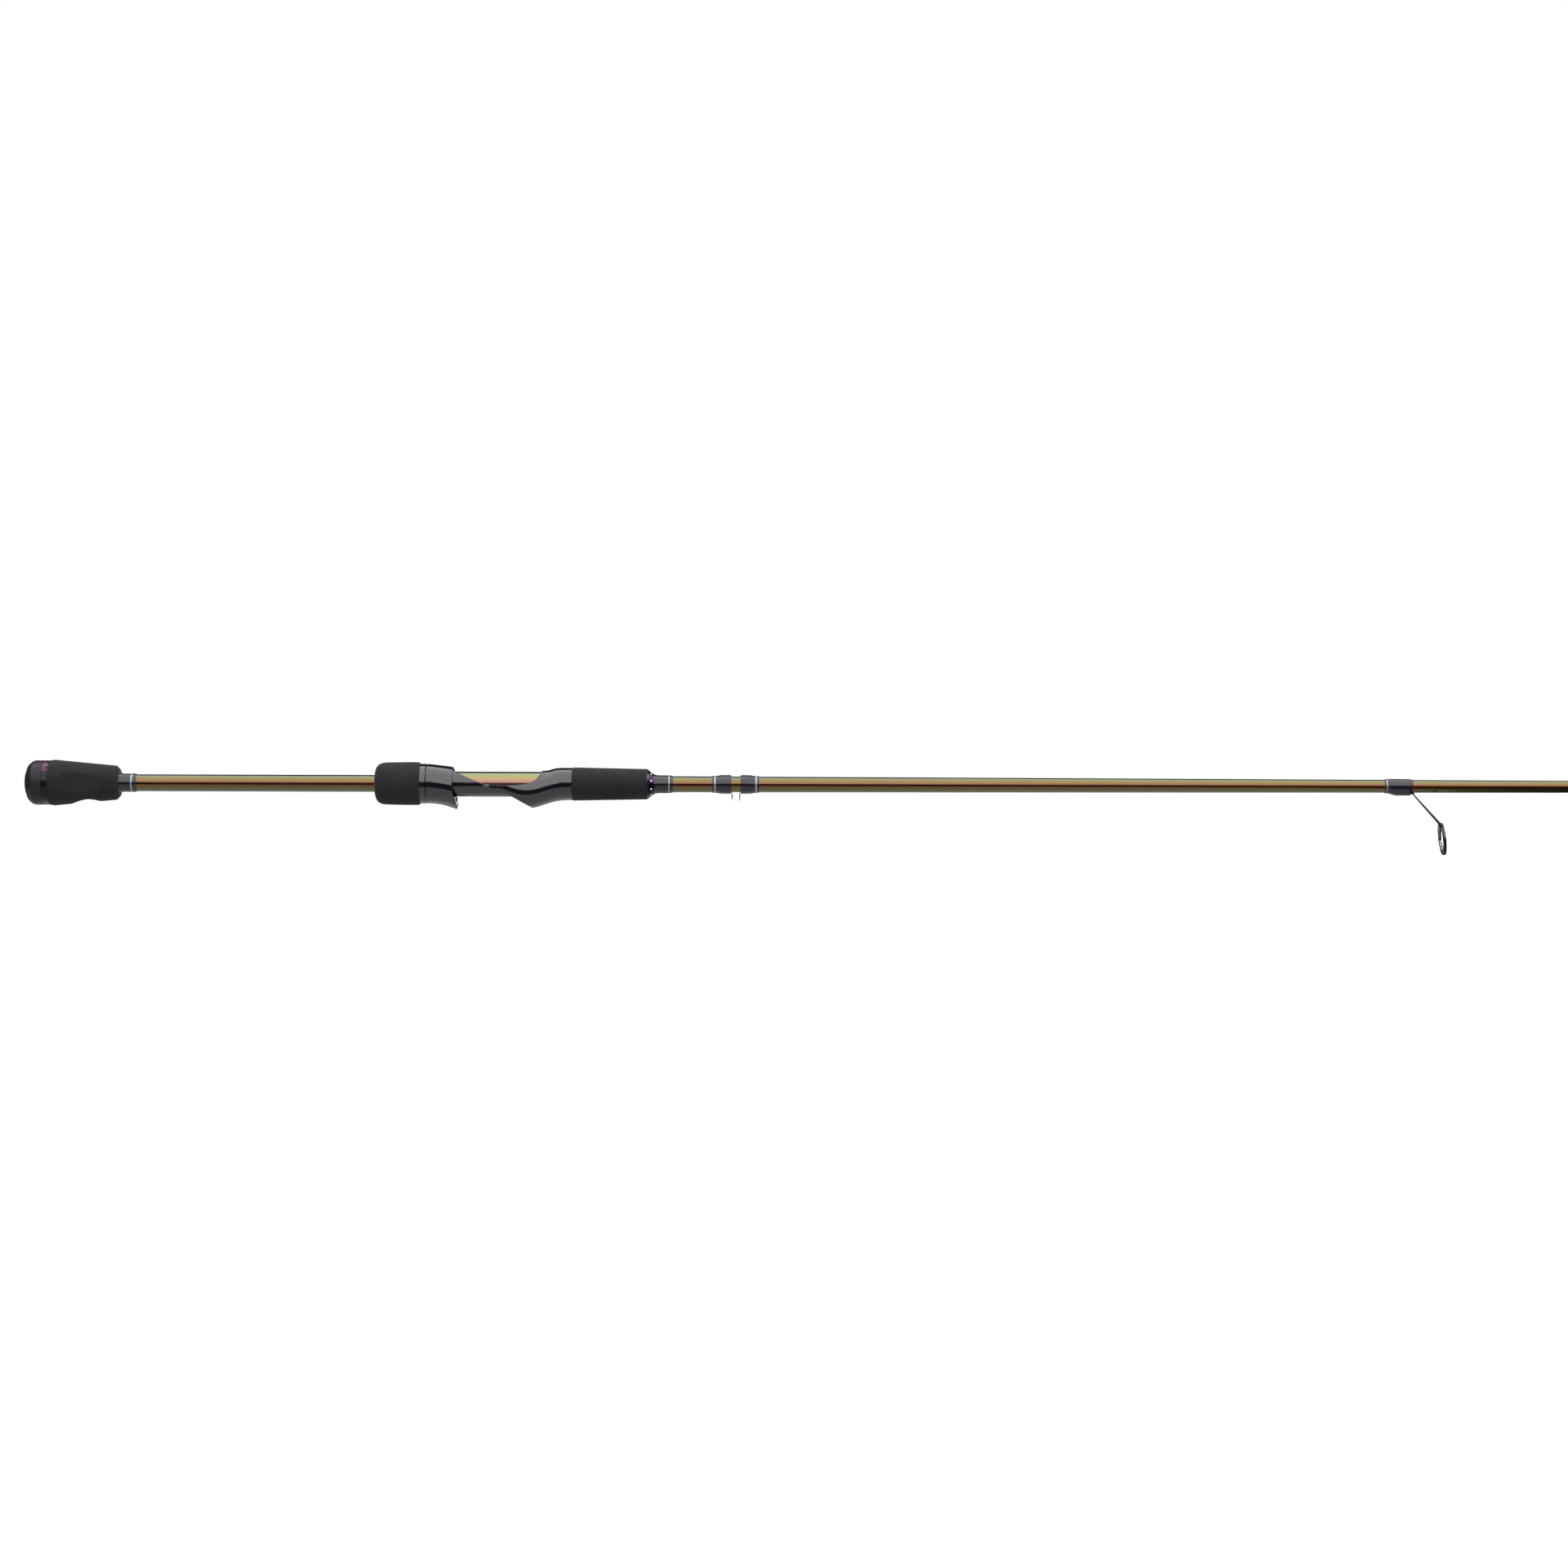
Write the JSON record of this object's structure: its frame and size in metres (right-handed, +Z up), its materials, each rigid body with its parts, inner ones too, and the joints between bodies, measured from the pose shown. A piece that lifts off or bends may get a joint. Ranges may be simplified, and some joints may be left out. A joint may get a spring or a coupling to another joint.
{
  "type": "spinning fishing rod",
  "caption": "One-piece spinning rod: tapered blank, foam grips, reel seat with screw-driven sliding hood, hook keeper, single-foot line guides and a tip-top. No reel fitted.",
  "frame": {"origin": "centre of the butt cap's end face, on the blank's axis", "axes": "+X along the blank from butt to tip, +Z up, line guides and reel side towards -Z, +Y to the left looking from butt to tip"},
  "size_m": [2.1339, 0.0294, 0.0593],
  "materials": {
    "blank_paint": "clear-coated metallic paint shifting from green to copper over a graphite tube",
    "sleeve_paint": "clear-coated metallic paint, green to copper",
    "black_satin": "satin black",
    "collar_purple": "gloss black with purple patches",
    "foam": "matte closed-cell foam",
    "bright_metal": "polished",
    "wrap_black": "black thread under clear epoxy",
    "silver_thread": "silver metallic thread under epoxy",
    "arbor_foam": "rigid foam ring",
    "seat_black": "gloss black moulded nylon",
    "stainless": "polished stainless",
    "check_black": "black anodised",
    "check_purple": "purple anodised",
    "guide_metal": "black chromed stainless",
    "guide_ceramic": "polished dark ceramic"
  },
  "bodies": {
    "rod": {"blank": "blank_paint", "butt_cap": "black_satin", "butt_ring": "collar_purple", "rear_grip": "foam", "rear_check": "bright_metal", "rear_wrap": "wrap_black", "rear_trim": "silver_thread", "seat_sleeve": "sleeve_paint", "seat_arbor_rear": "arbor_foam", "seat_arbor_front": "arbor_foam", "seat_body": "seat_black", "front_hood_liner": "stainless", "fore_grip": "foam", "fore_check_cone": "check_black", "fore_check_ring": "check_purple", "fore_check_studs": "bright_metal", "fore_wrap": "wrap_black", "fore_trim": "silver_thread", "hook_keeper": "stainless", "keeper_wrap_rear": "wrap_black", "keeper_wrap_front": "wrap_black", "keeper_trims": "silver_thread", "guide_1_frame": "guide_metal", "guide_1_ring": "guide_ceramic", "guide_1_wrap": "wrap_black", "guide_2_frame": "guide_metal", "guide_2_ring": "guide_ceramic", "guide_2_wrap": "wrap_black", "guide_3_frame": "guide_metal", "guide_3_ring": "guide_ceramic", "guide_3_wrap": "wrap_black", "guide_4_frame": "guide_metal", "guide_4_ring": "guide_ceramic", "guide_4_wrap": "wrap_black", "guide_5_frame": "guide_metal", "guide_5_ring": "guide_ceramic", "guide_5_wrap": "wrap_black", "guide_6_frame": "guide_metal", "guide_6_ring": "guide_ceramic", "guide_6_wrap": "wrap_black", "guide_7_frame": "guide_metal", "guide_7_ring": "guide_ceramic", "guide_7_wrap": "wrap_black", "guide_8_frame": "guide_metal", "guide_8_ring": "guide_ceramic", "guide_8_wrap": "wrap_black", "guide_trims": "silver_thread", "tip_top_frame": "guide_metal", "tip_top_ring": "guide_ceramic", "tip_wrap": "wrap_black", "tip_trim": "silver_thread"},
    "hood": {"hood": "seat_black", "hood_liner": "stainless"},
    "nut": {"nut_core": "seat_black", "nut_grip": "foam"}
  },
  "joints": [
    {"name": "hood_slide", "type": "slide", "parent": "rod", "child": "hood", "axis": [1, 0, 0], "range_m": [-0.01, 0.007]},
    {"name": "nut_turn", "type": "hinge", "parent": "hood", "child": "nut", "pos_m": [0.24, 0, 0], "axis": [1, 0, 0], "range_deg": [-1800, 1260]}
  ],
  "couplings": [
    {"joint": "hood_slide", "follows": "nut_turn", "m_per_rad": 0.00031831}
  ]
}
